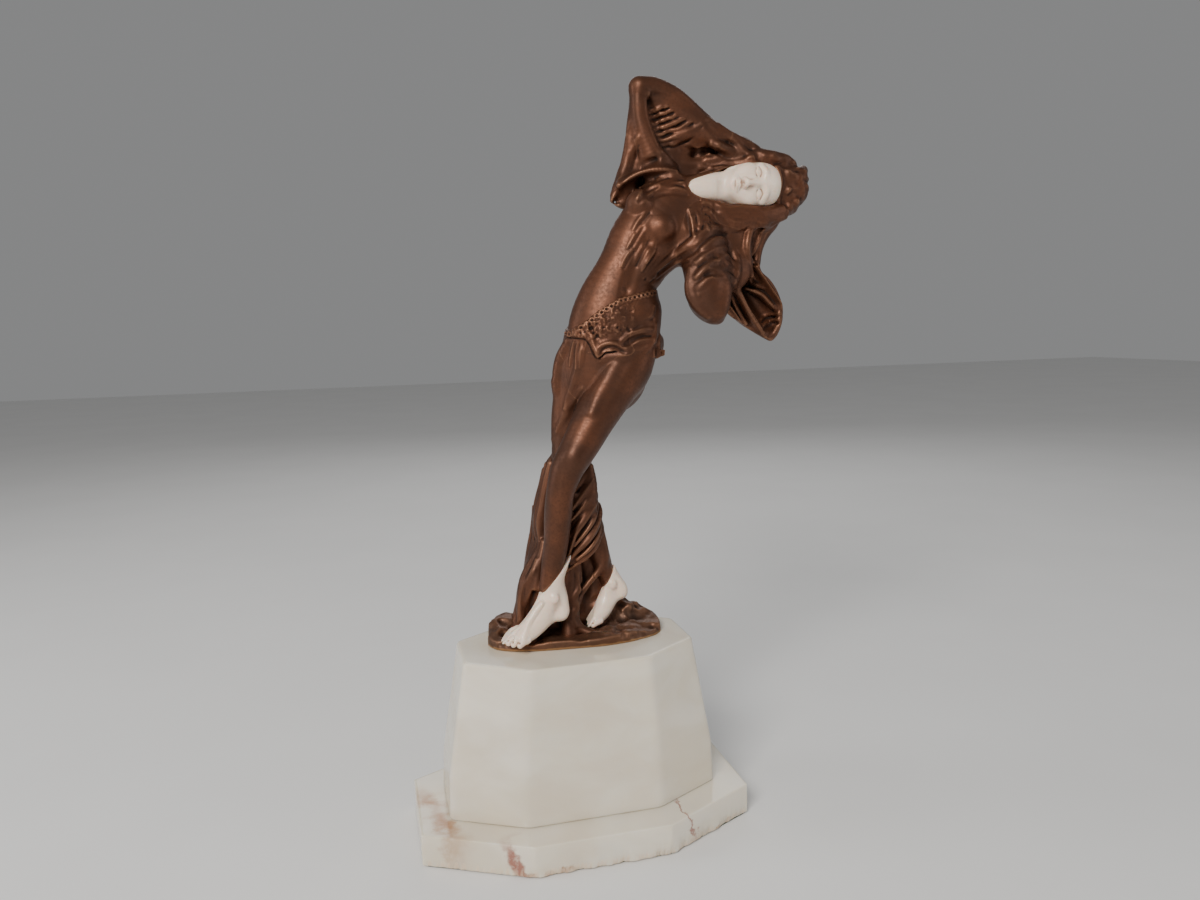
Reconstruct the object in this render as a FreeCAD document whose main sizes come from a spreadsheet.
import FreeCAD, Part
import math
import os
import Sketcher

from FreeCAD import Placement, Rotation, Vector

# A veiled dancer in bronze and ivory on a two-tier onyx base.
# Frame: origin at the centre of the underside, +Z up, the dancer faces -Y, +X to the viewer's right.

# --- driving dimensions (mm) --------------------------------------------------------------------

DIMENSIONS = {
    "felt_thick": 1.2,
    "felt_inset": 4.0,
    "plinth_length": 270.0,
    "plinth_width": 176.4,
    "plinth_front_flat": 108.0,
    "plinth_side_flat": 92.0,
    "plinth_high": 25.0,
    "plinth_round": 2.5,
    "block_length": 222.8,
    "block_width": 123.2,
    "block_front_flat": 108.4,
    "block_side_flat": 61.3,
    "block_band_high": 35.0,
    "block_band_draw": 1.6,
    "block_top_length": 189.4,
    "block_top_width": 118.0,
    "block_top_front_flat": 94.7,
    "block_top_side_flat": 53.3,
    "block_high": 126.2,
    "terrace_thick": 8.6,
    "terrace_wall": 4.0,
    "boss_radius": 8.0,
    "rod_radius": 3.0,
    "rod_clearance": 0.5,
    "rod_left": -38.0,
    "rod_right": 42.0,
    "rod_back": 14.0,
    "rod_tail": 3.2,
    "rod_grip": 6.0,
    "nut_across_flats": 10.0,
    "nut_high": 5.0,
    "washer_radius": 8.0,
    "washer_thick": 1.2,
    "counterbore_radius": 9.5,
    "counterbore_deep": 10.0,
    "hip_joint": 400.0,
    "sash_grow": 3.5,
    "sash_top_left": 407.0,
    "sash_top_slope": 0.42,
    "sash_hem_left": 401.0,
    "sash_hem_slope": -0.14,
    "web_front": 12.0,
    "web_thick": 4.0,
    "cape_front": 20.0,
    "cape_thick": 6.0,
    "sleeve_front": -8.0,
    "sleeve_deep": 22.0,
    "sleeve_wall": 4.0,
    "left_breast_radius": 12.0,
    "right_breast_radius": 11.0,
    "elbow_radius": 9.5,
    "face_back": 6.0,
    "face_crown": 180.0,
    "hip_pin_radius": 3.0,
    "pin_radius": 2.0,
    "ankle_dowel_radius": 1.6,
    "toe_dowel_radius": 1.3,
    "screw_radius": 2.0,
    "screw_head_radius": 3.6,
    "screw_head_high": 2.0,
    "screw_reach": 14.0,
}

# Cross-sections of each casting along its own centreline: x, y, z of the centre, then the half
# width across the limb and the half depth from front to back.
SECTIONS = {
    "front_leg": [
        (54, -6, 410, 22, 21), (48, -8, 379, 21.5, 21), (27, -14, 350, 18, 18), (8.5, -20, 323, 15.5, 15.5),
        (-6.5, -22, 299, 13, 13.5), (-12, -20, 281, 11, 12), (-13.5, -16, 262, 11, 13),
        (-15, -13, 241, 10, 11.5), (-18, -12, 223, 9.3, 9.5), (-21, -12, 204, 8.5, 8.5), (-24, -12, 190, 8, 8),
    ],
    "rear_leg": [
        (24.5, 8, 411, 18, 19), (17, 10, 391, 17, 18.5), (9, 10, 355, 16, 16), (2.5, 10, 322, 13, 14),
        (0.5, 9, 300, 12, 12.5), (7, 10, 281, 10.3, 12), (15.5, 13, 258, 11, 12.5), (23, 14, 232, 9, 10),
        (30, 14, 207, 7.5, 8), (34, 14, 196, 6.5, 7), (38, 14, 184, 6.5, 6.5),
    ],
    "left_foot": [
        (-15, -12.5, 233, 9.5, 10), (-18, -12, 223, 9.3, 9.5), (-21, -12, 204, 8.5, 8.5),
        (-25, -12, 190, 9.5, 9), (-32, -13, 178.5, 9.5, 9.5), (-42, -15, 169.5, 7.5, 9.5),
        (-52, -17, 165.6, 4.8, 9.5), (-60, -19, 164.5, 2.5, 6),
    ],
    "left_heel": [(-20, -11, 203, 6, 6), (-18, -10.5, 190, 7, 7), (-17, -10, 182, 6.5, 6.5), (-16, -10, 176, 3.5, 3.5)],
    "right_foot": [
        (28, 14, 216, 8, 8.5), (30, 14, 207, 7.5, 8), (34, 14, 197, 6.5, 7), (35.5, 13.5, 187, 7, 7.5),
        (31, 12, 176, 7.5, 8.5), (23, 9, 167.5, 6.5, 8.5), (15, 6, 164.8, 3.8, 8), (10, 4, 164, 2, 5),
    ],
    "right_heel": [(33, 14, 199, 5, 5), (39, 14, 190, 6.3, 6.3), (44, 14.3, 185.5, 5.8, 5.8), (49, 14.6, 182.5, 3, 3)],
    "torso": [
        (34, 2, 372, 34, 24), (37, 1, 392, 35, 25), (40.5, 0.5, 409, 36, 25), (45.5, -0.5, 428, 31, 23),
        (51.5, -2, 448, 25, 18.5), (64, -2, 470, 27, 20),
        (77, 0, 487, 30, 22), (92, 2, 505, 30, 20), (107, 4, 517, 17, 14), (116, 5, 520, 11, 9),
    ],
    "torso_core": [
        (44.5, 0, 424, 20, 15), (51.5, -2, 449, 18, 12), (64, -2, 470, 20, 14),
        (77, 0, 487, 23, 16), (92, 2, 505, 22, 14), (101, 3, 512, 12, 9), (104, 3.5, 514.5, 4, 3),
    ],
    "upper_arm": [
        (88, 11, 522, 15, 12), (79, 12.5, 545, 11, 11), (74, 12, 565, 8.8, 9),
        (70, 11, 585, 8.2, 8.5), (69.5, 10.5, 597, 7, 7.5),
    ],
    "forearm": [
        (70, 10.5, 597, 7, 7.5), (92, 12, 592, 8.4, 8.5), (117, 14, 580, 8.8, 8.5),
        (141, 16, 565, 8.8, 8.5), (163, 18, 554, 8, 8), (186, 20, 543, 6, 6),
    ],
    "draped_arm": [
        (103, 0, 497, 19, 17), (112, -14, 476, 20, 18), (117, -24, 454, 18, 16),
        (110, -33, 432, 14.5, 12), (111, -37.5, 417, 6, 5),
    ],
    "draped_forearm": [
        (114, -34, 424, 9, 9), (139, -15, 448, 10, 9), (161, 0, 473, 9.5, 9), (184, 12, 493, 8, 8), (194, 17, 503, 6, 6),
    ],
    "face_and_neck": [
        (99, -6, 517, 7, 6), (108, -4, 516.5, 10, 10), (120, -3, 517, 10.5, 11), (133, -3, 518.5, 12.5, 13.5),
        (144, -2, 520, 16.5, 17.5), (156, -2, 520.5, 18.5, 20), (169, -2, 520.5, 18, 19.5), (184, -2, 520.5, 15, 16),
    ],
    "hood": [
        (115, 8, 521, 16, 13), (135, 9, 524, 24, 19), (155, 9, 527, 28, 23),
        (178, 9, 526, 30, 24), (199, 9, 523, 24, 20), (211, 9, 522, 12, 11),
    ],
    "veil_fall": [
        (-5, 19, 304, 6, 5), (-8, 20, 277, 11, 7), (-11, 22, 243, 15, 8), (-12, 22, 211, 20, 9),
        (-15, 22, 190, 27, 10), (-14, 22, 172, 31, 11), (-14, 22, 161, 37, 13),
    ],
    "shin_wrap": [(16, 2, 294, 6, 3), (14, -2, 276, 11, 4.5), (10, -3, 255, 11, 4.5), (2, -2, 238, 9, 4), (-5, 0, 223, 4, 3)],
    "mound": [(30, 34, 161, 5, 12), (42, 34, 168, 9, 14), (55, 33, 167, 12, 13), (67, 31, 163, 10, 12), (77, 27, 160, 4, 8)],
}

# Outlines seen from the front (x, z) or from above (x, y).
OUTLINES = {
    "terrace": [(-71, 6), (-63, -9), (-41, -18), (-12, -23), (16, -25), (44, -22), (64, -15), (76, 4),
                (73, 30), (54, 49), (20, 55), (-24, 54), (-54, 44), (-70, 26)],
    "web": [(72, 592), (82, 545), (112, 528), (150, 541), (152, 558), (118, 580)],
    "cape": [(70, 562), (60, 536), (45, 514), (47, 508), (55, 503), (66, 508), (84, 494), (106, 470),
             (132, 452), (152, 470), (160, 505), (140, 545), (110, 548), (86, 556)],
    "sleeve": [(150, 463), (169, 460), (174, 450), (184, 440), (190, 420), (190, 406), (183, 397), (176, 396),
               (160, 407), (136, 417), (128, 428), (134, 446)],
}

# Pins and dowels: start, direction, length.
PINS = {
    "hip_pins": [((50, -7, 388), (0, 0, 1), 22), ((22, 9, 388), (0, 0, 1), 22)],
    "ankle_dowels": [((-17.5, -12, 222), (-6, 0, -28), 26), ((30.5, 14, 208), (6, 0, -18), 20)],
    "toe_dowels": [((-42, -15, 157), (0, 0, 1), 10), ((24, 9.5, 157), (0, 0, 1), 9)],
    "shoulder_pins": [((91, 8, 514), (-9, 4, 26), 22), ((101, 1, 500), (9, -13, -22), 22)],
    "neck_dowel": [((100, -3, 516.5), (1, 0, 0.03), 20)],
    "hood_pin": [((104, 11, 518), (1, 0.05, 0.15), 20)],
    "sleeve_pin": [((144, -12, 456), (0.6, 0.2, -1), 14)],
}

# Centres of round forms that are fused into a casting.
LEFT_BREAST = (77.5, -15, 485)
RIGHT_BREAST = (61, -10, 504)
RAISED_ELBOW = (70.5, 10.5, 597)

# Where bronze shin meets ivory ankle: a point on the slanting joint, its normal towards the foot,
# and the lowest level that the bronze reaches.
LEFT_ANKLE = ((-8.3, -12, 221.5), (0.743, 0, -0.669), 192)
RIGHT_ANKLE = ((38, 14, 206), (0.866, 0, -0.505), 187)

# Screws that come up through the terrace into the foot of the long veil (x, y).
SCREW_PLACES = ((-30, 22), (2, 24))

FAR = 900.0
SECTION_POINTS = 12


# --- the document and its sheet -----------------------------------------------------------------

doc = FreeCAD.newDocument("statuette")
sheet = doc.addObject("Spreadsheet::Sheet", "Dimensions")


def column_name(index):
    """Spreadsheet column letters, from A."""
    letters = ""
    while True:
        letters = chr(ord("A") + index % 26) + letters
        index = index // 26 - 1
        if index < 0:
            return letters


def fill_sheet():
    """Writes the named dimensions in the first columns and each casting's sections below its own name."""
    for row, (name, value) in enumerate(DIMENSIONS.items(), start=1):
        sheet.set("A%d" % row, name)
        sheet.set("B%d" % row, str(value))
        sheet.setAlias("B%d" % row, name)
    column = 3
    for name, stations in SECTIONS.items():
        for row, station in enumerate(stations, start=1):
            for offset, (word, value) in enumerate(zip(("x", "y", "z", "wide", "deep"), station)):
                cell = "%s%d" % (column_name(column + offset), row)
                sheet.set(cell, str(value))
                sheet.setAlias(cell, "%s_%d_%s" % (name, row, word))
        column += 6
    doc.recompute()


def size(name):
    """One driving dimension read back from the sheet."""
    return float(sheet.get(name))


def stations_of(name):
    """A casting's cross-sections read back from the sheet."""
    words = ("x", "y", "z", "wide", "deep")
    count = len(SECTIONS[name])
    return [tuple(size("%s_%d_%s" % (name, row, word)) for word in words) for row in range(1, count + 1)]


# --- shapes made with Part's own functions --------------------------------------------------------

def path_directions(centres):
    """The direction of a centreline at each of its points."""
    last = len(centres) - 1
    return [(centres[min(i + 1, last)] - centres[max(i - 1, 0)]).normalize() for i in range(last + 1)]


def oval_wire(centre, along, half_wide, half_deep):
    """A smooth closed oval square to the limb, its first point always on the same side."""
    across = Vector(0, 1, 0).cross(along).normalize()
    depth = along.cross(across).normalize()
    points = []
    for step in range(SECTION_POINTS):
        turn = 2 * math.pi * step / SECTION_POINTS
        points.append(centre + across * (half_wide * math.cos(turn)) + depth * (half_deep * math.sin(turn)))
    curve = Part.BSplineCurve()
    curve.interpolate(Points=points, PeriodicFlag=True)
    return Part.Wire(curve.toShape())


def limb(name, grow=0.0):
    """A closed solid lofted through a casting's cross-sections, each grown by the same amount."""
    stations = stations_of(name)
    centres = [Vector(*station[:3]) for station in stations]
    wires = [
        oval_wire(centre, along, station[3] + grow, station[4] + grow)
        for centre, along, station in zip(centres, path_directions(centres), stations)
    ]
    return Part.makeLoft(wires, True)


def half_space(point, normal):
    """A large block that fills the side of a plane that its normal points to."""
    box = Part.makeBox(FAR, FAR, FAR, Vector(-FAR / 2, -FAR / 2, 0))
    box.Placement = Placement(Vector(*point), Rotation(Vector(0, 0, 1), Vector(*normal)))
    return box


def largest(shape):
    """The largest solid of a shape, without the slivers that a cut leaves."""
    solids = sorted(shape.Solids, key=lambda solid: solid.Volume)
    return solids[-1]


def without(shape, *tools):
    """What is left of a casting once its neighbours have taken their room."""
    for tool in tools:
        shape = largest(shape.cut(tool))
    return shape


def joined(first, *others):
    """One casting made of several forms that run into each other."""
    shape = first
    for other in others:
        shape = shape.fuse(other)
    return largest(shape)


def pin_shape(start, direction, length, radius):
    """A round pin."""
    return Part.makeCylinder(radius, length, Vector(*start), Vector(*direction))


def pins_of(name, radius_name):
    """All the pins of one node."""
    radius = size(radius_name)
    return [pin_shape(start, direction, length, radius) for start, direction, length in PINS[name]]


def smooth_face(points):
    """A flat face inside a smooth closed line through its points."""
    curve = Part.BSplineCurve()
    curve.interpolate(Points=points, PeriodicFlag=True)
    return Part.Face(Part.Wire(curve.toShape()))


def front_plate(outline, front, thick):
    """A plate with an outline seen from the front, and its thickness towards the back."""
    return smooth_face([Vector(x, front, z) for x, z in outline]).extrude(Vector(0, thick, 0))


def level_plate(outline, height, thick):
    """A level plate with a smooth closed outline seen from above."""
    return smooth_face([Vector(x, y, height) for x, y in outline]).extrude(Vector(0, 0, thick))


def shrunk(outline, wall):
    """An outline drawn in towards its own middle by about a wall's thickness."""
    middle = Vector(sum(p[0] for p in outline), sum(p[1] for p in outline), 0) * (1.0 / len(outline))
    inner = []
    for across, along in outline:
        arm = Vector(across, along, 0) - middle
        point = middle + arm * ((arm.Length - wall) / arm.Length)
        inner.append((point.x, point.y))
    return inner


def add_feature(name, shape):
    """A document object for a shape made here; its own placement is the frame's."""
    piece = doc.addObject("Part::Feature", name)
    piece.Label = name
    piece.Shape = shape
    piece.Placement = Placement()
    return piece


# --- bodies made with sketches --------------------------------------------------------------------

def origin_plane(body, role):
    """One of a body's own origin planes."""
    return [plane for plane in body.Origin.OriginFeatures if plane.Role == role][0]


# Rough half sizes that an octagon is drawn at before its constraints take their sizes.
FIRST_FLAT = 50.0
FIRST_LONG = 100.0


def octagon_sketch(body, name, length, width, front_flat, side_flat, height):
    """An elongated octagon centred on the axis; the five sizes are expressions on the sheet."""
    sketch = body.newObject("Sketcher::SketchObject", name)
    sketch.AttachmentSupport = [(origin_plane(body, "XY_Plane"), "")]
    sketch.MapMode = "FlatFace"
    sketch.setExpression(".AttachmentOffset.Base.z", height)
    signs = [(1, -1), (1, -1), (1, 1), (1, 1), (-1, 1), (-1, 1), (-1, -1), (-1, -1)]
    on_flat = [True, False, False, True, True, False, False, True]
    corners = [
        (across * (FIRST_FLAT if flat else FIRST_LONG), along * (FIRST_LONG if flat else FIRST_FLAT))
        for (across, along), flat in zip(signs, on_flat)
    ]
    sides = len(corners)
    for i in range(sides):
        start = Vector(corners[i][0], corners[i][1], 0)
        end = Vector(corners[(i + 1) % sides][0], corners[(i + 1) % sides][1], 0)
        sketch.addGeometry(Part.LineSegment(start, end), False)
    for i in range(sides):
        sketch.addConstraint(Sketcher.Constraint("Coincident", i, 2, (i + 1) % sides, 1))
    for i in range(sides):
        across = front_flat if on_flat[i] else length
        along = width if on_flat[i] else side_flat
        bind(sketch, "DistanceX", i, signs[i][0], corners[i][0], across)
        bind(sketch, "DistanceY", i, signs[i][1], corners[i][1], along)
    return sketch


def bind(sketch, kind, line, sign, start_value, full_size):
    """Holds a corner half a driven size from an axis."""
    constraint = sketch.addConstraint(Sketcher.Constraint(kind, -1, 1, line, 1, float(start_value)))
    sketch.setExpression("Constraints[%d]" % constraint, "%d * (%s) / 2" % (sign, full_size))


def circle_sketch(body, name, radius, height, centres):
    """Circles of one size, each centred on a pair of expressions."""
    sketch = body.newObject("Sketcher::SketchObject", name)
    sketch.AttachmentSupport = [(origin_plane(body, "XY_Plane"), "")]
    sketch.MapMode = "FlatFace"
    sketch.setExpression(".AttachmentOffset.Base.z", height)
    for x_size, y_size in centres:
        centre = Vector(size(x_size), size(y_size), 0)
        circle = sketch.addGeometry(Part.Circle(centre, Vector(0, 0, 1), 5.0), False)
        for kind, at, full in (("DistanceX", centre.x, x_size), ("DistanceY", centre.y, y_size)):
            constraint = sketch.addConstraint(Sketcher.Constraint(kind, -1, 1, circle, 3, at))
            sketch.setExpression("Constraints[%d]" % constraint, "Dimensions.%s" % full)
        constraint = sketch.addConstraint(Sketcher.Constraint("Radius", circle, 5.0))
        sketch.setExpression("Constraints[%d]" % constraint, radius)
    return sketch


ROD_PLACES = (("rod_left", "rod_back"), ("rod_right", "rod_back"))


def bored(body, name, radius, start, depth):
    """Bores upward at both tie rods, and checks that metal or stone came away."""
    doc.recompute()
    before = body.Shape.Volume
    pocket = body.newObject("PartDesign::Pocket", name)
    pocket.Profile = circle_sketch(body, name + "_circles", radius, start, ROD_PLACES)
    pocket.Reversed = True
    pocket.setExpression("Length", depth)
    body.Tip = pocket
    doc.recompute()
    if body.Shape.Volume >= before:
        raise RuntimeError(name + " cut nothing")
    return pocket


def padded_body(name, sketch_sizes, height, thickness):
    """A body that is one octagon raised to a thickness."""
    body = doc.addObject("PartDesign::Body", name)
    body.Label = name
    pad = body.newObject("PartDesign::Pad", name + "_pad")
    pad.Profile = octagon_sketch(body, name + "_outline", *sketch_sizes, height)
    pad.setExpression("Length", thickness)
    body.Tip = pad
    doc.recompute()
    return body


def make_base_felt():
    """Green baize under the plinth, which also hides the tie nuts."""
    inset = " - 2 * Dimensions.felt_inset"
    sizes = (
        "Dimensions.plinth_length" + inset, "Dimensions.plinth_width" + inset,
        "Dimensions.plinth_front_flat", "Dimensions.plinth_side_flat",
    )
    return padded_body("base_felt", sizes, "0 mm", "Dimensions.felt_thick")


def make_plinth():
    """Lower onyx slab, with the nut recesses on its underside."""
    sizes = (
        "Dimensions.plinth_length", "Dimensions.plinth_width",
        "Dimensions.plinth_front_flat", "Dimensions.plinth_side_flat",
    )
    bottom = "Dimensions.felt_thick"
    body = padded_body("plinth", sizes, bottom, "Dimensions.plinth_high")
    bored(body, "plinth_rod_bores", "Dimensions.rod_radius + Dimensions.rod_clearance", bottom,
          "Dimensions.plinth_high")
    bored(body, "plinth_nut_recesses", "Dimensions.counterbore_radius", bottom, "Dimensions.counterbore_deep")
    top = size("felt_thick") + size("plinth_high")
    tip = body.Tip
    rims = [
        "Edge%d" % (i + 1) for i, edge in enumerate(tip.Shape.Edges)
        if abs(edge.BoundBox.ZMin - top) < 0.01 and abs(edge.BoundBox.ZMax - top) < 0.01
        and isinstance(edge.Curve, Part.Line)
    ]
    rounding = body.newObject("PartDesign::Fillet", "plinth_rounding")
    rounding.Base = (tip, rims)
    rounding.setExpression("Radius", "Dimensions.plinth_round")
    body.Tip = rounding
    doc.recompute()
    return body


def make_block():
    """Upper onyx block: a nearly upright band, then faces that lean in to the top."""
    body = doc.addObject("PartDesign::Body", "block")
    body.Label = "block"
    foot = "Dimensions.felt_thick + Dimensions.plinth_high"
    low = ["Dimensions.block_length", "Dimensions.block_width",
           "Dimensions.block_front_flat", "Dimensions.block_side_flat"]
    draw = " - 2 * Dimensions.block_band_draw"
    band = [low[0] + draw, low[1] + draw, low[2], low[3]]
    top = ["Dimensions.block_top_length", "Dimensions.block_top_width",
           "Dimensions.block_top_front_flat", "Dimensions.block_top_side_flat"]
    levels = (
        ("block_foot", low, foot),
        ("block_crease", band, foot + " + Dimensions.block_band_high"),
        ("block_top", top, foot + " + Dimensions.block_high"),
    )
    sketches = [octagon_sketch(body, name, *sizes, height) for name, sizes, height in levels]
    doc.recompute()
    loft = body.newObject("PartDesign::AdditiveLoft", "block_loft")
    loft.Profile = sketches[0]
    loft.Sections = sketches[1:]
    loft.Ruled = True
    body.Tip = loft
    bored(body, "block_rod_bores", "Dimensions.rod_radius + Dimensions.rod_clearance", foot,
          "Dimensions.block_high")
    return body


# --- fastenings in the base -------------------------------------------------------------------------

def place_at_rod(piece, side, height):
    """Stands a primitive on a tie rod's axis."""
    piece.setExpression(".Placement.Base.x", "Dimensions.rod_" + side)
    piece.setExpression(".Placement.Base.y", "Dimensions.rod_back")
    piece.setExpression(".Placement.Base.z", height)


def make_tie_rods():
    """Two steel rods that hold the terrace, the block and the plinth together."""
    rods = []
    for side in ("left", "right"):
        rod = doc.addObject("Part::Cylinder", "tie_rod_" + side)
        rod.setExpression("Radius", "Dimensions.rod_radius")
        rod.setExpression(
            "Height",
            "Dimensions.felt_thick + Dimensions.plinth_high + Dimensions.block_high"
            " + Dimensions.rod_grip - Dimensions.rod_tail",
        )
        place_at_rod(rod, side, "Dimensions.rod_tail")
        rods.append(rod)
    return group("tie_rods", rods)


def make_ring_pieces(name, outer_kind, outer_size, outer_value, thickness, height):
    """A nut or a washer on each tie rod: an outer form less the rod's bore."""
    rings = []
    for side in ("left", "right"):
        outer = doc.addObject(outer_kind, "%s_%s_outer" % (name, side))
        outer.setExpression(outer_size, outer_value)
        outer.setExpression("Height", thickness)
        if outer_kind == "Part::Prism":
            outer.Polygon = 6
        place_at_rod(outer, side, height)
        bore = doc.addObject("Part::Cylinder", "%s_%s_bore" % (name, side))
        bore.setExpression("Radius", "Dimensions.rod_radius")
        bore.setExpression("Height", thickness)
        place_at_rod(bore, side, height)
        ring = doc.addObject("Part::Cut", "%s_%s" % (name, side))
        ring.Base = outer
        ring.Tool = bore
        rings.append(ring)
    return group(name, rings)


def group(name, members):
    """Identical pieces that share one node, each its own solid."""
    compound = doc.addObject("Part::Compound", name)
    compound.Label = name
    compound.Links = members
    compound.Placement = Placement()
    return compound


RECESS_ROOF = "Dimensions.felt_thick + Dimensions.counterbore_deep"


def make_washers():
    """Washers against the roof of each nut recess."""
    return make_ring_pieces(
        "tie_washers", "Part::Cylinder", "Radius", "Dimensions.washer_radius", "Dimensions.washer_thick",
        RECESS_ROOF + " - Dimensions.washer_thick",
    )


def make_nuts():
    """Hexagon nuts under the washers."""
    return make_ring_pieces(
        "tie_nuts", "Part::Prism", "Circumradius", "Dimensions.nut_across_flats / sqrt(3)", "Dimensions.nut_high",
        RECESS_ROOF + " - Dimensions.washer_thick - Dimensions.nut_high",
    )


def make_pins(name, radius_name):
    """Round pins of one size, each a cylinder in its own place."""
    members = []
    for index, (start, direction, length) in enumerate(PINS[name], start=1):
        pin = doc.addObject("Part::Cylinder", "%s_%d" % (name, index))
        pin.setExpression("Radius", "Dimensions." + radius_name)
        pin.Height = length
        pin.Placement = Placement(Vector(*start), Rotation(Vector(0, 0, 1), Vector(*direction)))
        members.append(pin)
    return group(name, members)


# --- levels and joint planes ------------------------------------------------------------------------

def block_top():
    """Height of the block's top face."""
    return size("felt_thick") + size("plinth_high") + size("block_high")


def ground():
    """Height of the terrace's standing surface."""
    return block_top() + size("terrace_thick")


def above(height):
    return half_space((0, 0, height), (0, 0, 1))


def below(height):
    return half_space((0, 0, height), (0, 0, -1))


def ankle_joint(point, normal, lowest):
    """The wedge of room that the bronze shin keeps above a slanting ankle joint."""
    shin_side = half_space(point, [-n for n in normal])
    return shin_side.common(above(lowest))


def screw_shapes():
    """Cheese-head screws that come up through the terrace into the foot of the long veil."""
    ceiling = ground() - size("terrace_wall")
    shapes = []
    for x, y in SCREW_PLACES:
        head = Part.makeCylinder(
            size("screw_head_radius"), size("screw_head_high"), Vector(x, y, ceiling - size("screw_head_high"))
        )
        shank = Part.makeCylinder(size("screw_radius"), size("screw_reach"), Vector(x, y, ceiling))
        shapes.append(head.fuse(shank).removeSplitter())
    return shapes


# --- the castings and the ivories --------------------------------------------------------------------

def foot_shape(foot_name, heel_name):
    """A foot raised on its ball: the instep and toes, and the heel."""
    return joined(limb(foot_name), limb(heel_name)).common(above(ground())).Solids[0]


def face_insert_shape():
    """The ivory face and neck in one piece, flat at the back and squared off at the crown."""
    insert = limb("face_and_neck").cut(half_space((0, size("face_back"), 0), (0, 1, 0)))
    return largest(insert.cut(half_space((size("face_crown"), 0, 0), (1, 0, 0))))


def torso_shape(insert):
    """Hips, waist and chest, cored from the neck end."""
    shape = joined(
        limb("torso"),
        Part.makeSphere(size("left_breast_radius"), Vector(*LEFT_BREAST)),
        Part.makeSphere(size("right_breast_radius"), Vector(*RIGHT_BREAST)),
    )
    shape = shape.common(above(size("hip_joint")))
    return without(shape, limb("torso_core"), insert)


def raised_arm_shape():
    """The arm thrown up over the head, with the veil stretched in the crook of its elbow."""
    elbow = Part.makeSphere(size("elbow_radius"), Vector(*RAISED_ELBOW))
    web = front_plate(OUTLINES["web"], size("web_front"), size("web_thick"))
    return joined(limb("upper_arm"), elbow, limb("forearm"), web)


def lowered_arm_shape():
    """The arm bent down and back to the head, under its veil."""
    return joined(limb("draped_arm"), limb("draped_forearm"))


def sash_shape():
    """A ring of knotted lace veil round the hips, narrow on her right and deep on her left."""
    slope = size("sash_top_slope")
    top = half_space((0, 0, size("sash_top_left")), (-slope, 0, 1))
    fall = size("sash_hem_slope")
    hem = half_space((0, 0, size("sash_hem_left")), (fall, 0, -1))
    ring = limb("torso", size("sash_grow")).cut(top)
    return largest(ring.cut(hem))


def sleeve_shape():
    """The hanging scoop of veil beyond the lowered elbow, open to the front."""
    front, deep, wall = size("sleeve_front"), size("sleeve_deep"), size("sleeve_wall")
    outer = front_plate(OUTLINES["sleeve"], front, deep)
    hollow = front_plate(shrunk(OUTLINES["sleeve"], 1.5 * wall), front - 1, deep - wall + 1)
    return largest(outer.cut(hollow))


def terrace_shape():
    """The bronze ground: a shell open below, two tapped bosses and a mound behind the rear foot."""
    wall = size("terrace_wall")
    base = level_plate(OUTLINES["terrace"], block_top(), size("terrace_thick"))
    hollow = level_plate(shrunk(OUTLINES["terrace"], 1.6 * wall), block_top(), size("terrace_thick") - wall)
    shell = base.cut(hollow)
    for side in ("rod_left", "rod_right"):
        place = Vector(size(side), size("rod_back"), block_top())
        shell = shell.fuse(Part.makeCylinder(size("boss_radius"), size("terrace_thick") - wall, place))
    mound = limb("mound").common(above(ground() - 0.5))
    shell = shell.fuse(largest(mound)).removeSplitter()
    for side in ("rod_left", "rod_right"):
        place = Vector(size(side), size("rod_back"), block_top())
        shell = shell.cut(Part.makeCylinder(size("rod_radius"), size("rod_grip"), place))
    return largest(shell)


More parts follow.
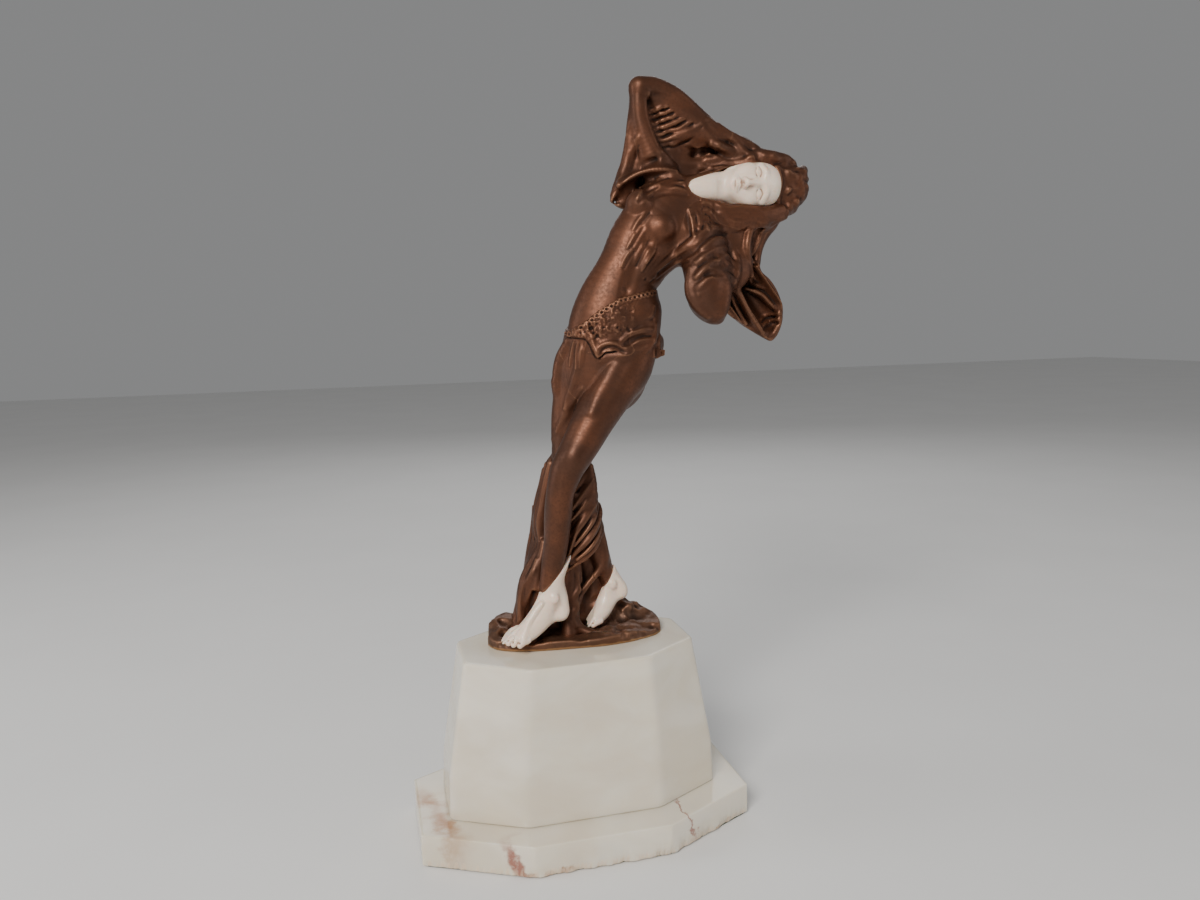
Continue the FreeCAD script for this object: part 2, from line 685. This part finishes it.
def make_figure():
    """Every casting and ivory, each cut back where a neighbour or a pin takes its room."""
    hip_pins = pins_of("hip_pins", "hip_pin_radius")
    ankle_dowels = pins_of("ankle_dowels", "ankle_dowel_radius")
    toe_dowels = pins_of("toe_dowels", "toe_dowel_radius")
    shoulder_pins = pins_of("shoulder_pins", "pin_radius")
    neck_dowel = pins_of("neck_dowel", "pin_radius")
    hood_pin = pins_of("hood_pin", "pin_radius")
    sleeve_pin = pins_of("sleeve_pin", "pin_radius")
    screws = screw_shapes()

    left_room = ankle_joint(*LEFT_ANKLE)
    right_room = ankle_joint(*RIGHT_ANKLE)
    left_foot = without(foot_shape("left_foot", "left_heel"), left_room, ankle_dowels[0], toe_dowels[0])
    right_foot = without(foot_shape("right_foot", "right_heel"), right_room, ankle_dowels[1], toe_dowels[1])
    insert = without(face_insert_shape(), *neck_dowel)

    hips = above(size("hip_joint"))
    front_leg = without(largest(limb("front_leg").common(left_room)), hips, ankle_dowels[0], hip_pins[0])
    rear_leg = largest(limb("rear_leg").common(right_room))
    rear_leg = without(rear_leg, hips, front_leg, ankle_dowels[1], hip_pins[1])
    torso = without(torso_shape(insert), *hip_pins, *shoulder_pins, *neck_dowel, *hood_pin)

    sash = without(sash_shape(), torso, limb("torso"), front_leg, rear_leg)
    raised_arm = without(raised_arm_shape(), torso, insert, *shoulder_pins)
    lowered_arm = without(lowered_arm_shape(), torso, insert, *shoulder_pins, *sleeve_pin)
    hood = without(limb("hood"), insert, torso, raised_arm, lowered_arm, *hood_pin)
    cape = without(
        front_plate(OUTLINES["cape"], size("cape_front"), size("cape_thick")),
        torso, raised_arm, lowered_arm, hood, *shoulder_pins,
    )
    sleeve = without(sleeve_shape(), lowered_arm, cape, *sleeve_pin)

    terrace = without(terrace_shape(), left_foot, right_foot, *toe_dowels, *screws)
    veil_fall = without(limb("veil_fall"), front_leg, rear_leg, left_foot, right_foot, terrace, *screws)
    wrap = without(limb("shin_wrap"), front_leg, rear_leg, veil_fall)

    add_feature("veil_screws", Part.Compound(screws))
    castings = {
        "terrace": terrace, "left_foot": left_foot, "right_foot": right_foot, "face_and_neck": insert,
        "front_leg": front_leg, "rear_leg": rear_leg, "torso": torso, "hip_sash": sash,
        "raised_arm": raised_arm, "lowered_arm": lowered_arm, "hood": hood, "shoulder_veil": cape,
        "sleeve_fold": sleeve, "veil_fall": veil_fall, "shin_wrap": wrap,
    }
    for name, shape in castings.items():
        add_feature(name, shape)
    return list(castings) + ["veil_screws"]


# --- build, check and write ------------------------------------------------------------------------

PIN_RADII = {
    "hip_pins": "hip_pin_radius", "ankle_dowels": "ankle_dowel_radius", "toe_dowels": "toe_dowel_radius",
    "shoulder_pins": "pin_radius", "neck_dowel": "pin_radius", "hood_pin": "pin_radius", "sleeve_pin": "pin_radius",
}


def build_all():
    """Makes every sub-part and returns the document's objects for them."""
    fill_sheet()
    pieces = [make_base_felt(), make_plinth(), make_block(), make_tie_rods(), make_washers(), make_nuts()]
    pieces += [make_pins(name, radius_name) for name, radius_name in PIN_RADII.items()]
    names = make_figure()
    doc.recompute()
    return pieces + [doc.getObject(name) for name in names]


def check(pieces):
    """Stops if any object failed or any sub-part has no sound shape."""
    for item in doc.Objects:
        if "Invalid" in item.State or "Error" in item.State:
            raise RuntimeError("%s: %s" % (item.Name, item.State))
    for piece in pieces:
        if piece.Shape.isNull() or not piece.Shape.isValid():
            raise RuntimeError(piece.Label + " has no sound shape")
        if not piece.Shape.Solids:
            raise RuntimeError(piece.Label + " has no solid")


def write(pieces):
    """One STEP file for each sub-part."""
    os.makedirs("parts", exist_ok=True)
    for piece in pieces:
        piece.Shape.exportStep("parts/%s.step" % piece.Label)
        print("%-16s solids %d  volume %9.1f mm3" % (piece.Label, len(piece.Shape.Solids), piece.Shape.Volume))


all_pieces = build_all()
check(all_pieces)
write(all_pieces)
